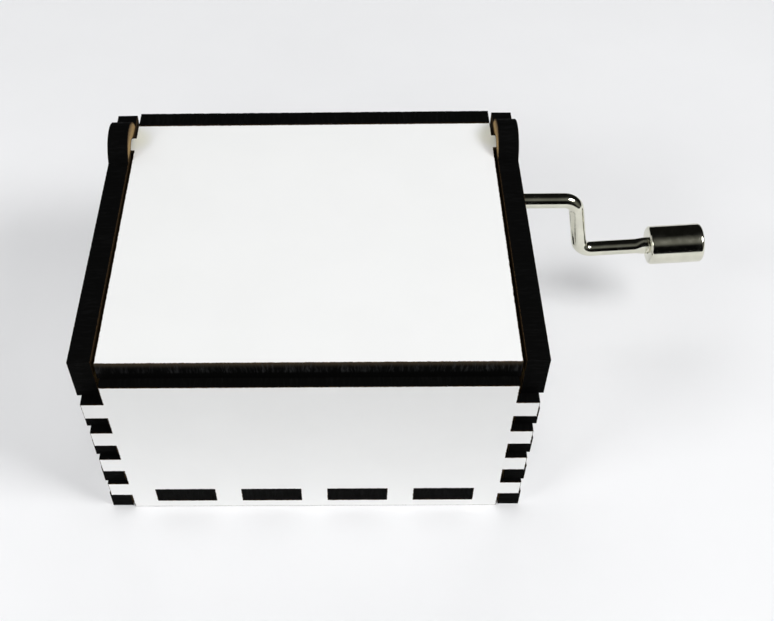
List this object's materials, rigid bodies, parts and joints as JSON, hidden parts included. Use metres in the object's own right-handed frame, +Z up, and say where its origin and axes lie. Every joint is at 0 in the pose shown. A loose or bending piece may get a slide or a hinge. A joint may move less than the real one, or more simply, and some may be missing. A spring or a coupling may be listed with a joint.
{
  "type": "hand-cranked cylinder music box",
  "caption": "Finger-jointed board case with a hinged lid, a bent wire crank, and a pinned drum, steel comb and worm gear inside.",
  "frame": {"origin": "on the table, midway between the side panels and midway along them", "axes": "+X to the crank side, +Y to the back (the hinge side), +Z up"},
  "size_m": [0.0976, 0.0546, 0.0392],
  "materials": {
    "white_board": "white lacquer with burnt edges",
    "side_board": "white lacquer outside, raw inside, burnt edges",
    "floor_board": "raw board with burnt edges",
    "cast_zinc": "tumbled casting",
    "sheet_steel": "zinc-plated stamping",
    "spring_steel": "ground",
    "screw_steel": "plated",
    "lead": "dull",
    "brass": "turned",
    "resin": "cast",
    "crank_nickel": "bright nickel",
    "knob_nickel": "bright nickel"
  },
  "bodies": {
    "case": {"left_panel": "side_board", "right_panel": "side_board", "front_panel": "white_board", "back_panel": "white_board", "bottom_panel": "floor_board", "bedplate": "cast_zinc", "front_bracket": "sheet_steel", "gear_bracket": "sheet_steel", "bracket_screws": "screw_steel", "mounting_screws": "screw_steel", "mounting_washers": "screw_steel", "comb": "spring_steel", "comb_weights": "lead", "comb_dampers": "spring_steel", "comb_screws": "screw_steel", "arbor_washers": "screw_steel"},
    "lid": {"lid": "white_board"},
    "drum": {"drum_shell": "brass", "drum_resin": "resin", "drum_pins": "spring_steel", "drum_cap_front": "brass", "drum_cap_rear": "brass", "drum_arbor": "spring_steel", "worm_wheel": "brass"},
    "crank": {"crank_wire": "crank_nickel", "worm": "brass", "crank_clip": "sheet_steel"},
    "knob": {"knob": "knob_nickel"}
  },
  "joints": [
    {"name": "lid_hinge", "type": "hinge", "parent": "case", "child": "lid", "pos_m": [0, 0.0187, 0.0344], "axis": [-1, 0, 0], "range_deg": [0, 130]},
    {"name": "crank_spin", "type": "hinge", "parent": "case", "child": "crank", "pos_m": [0, 0.0155, 0.026], "axis": [1, 0, 0], "continuous": true},
    {"name": "drum_spin", "type": "hinge", "parent": "case", "child": "drum", "pos_m": [0.004, 0.004, 0.0165], "axis": [0, 1, 0], "continuous": true},
    {"name": "knob_spin", "type": "hinge", "parent": "crank", "child": "knob", "pos_m": [0.06067, 0.01438, 0.01688], "axis": [0.9979, 0.0079, 0.0641], "continuous": true}
  ],
  "couplings": [
    {"joint": "drum_spin", "follows": "crank_spin", "ratio": -0.041667}
  ]
}
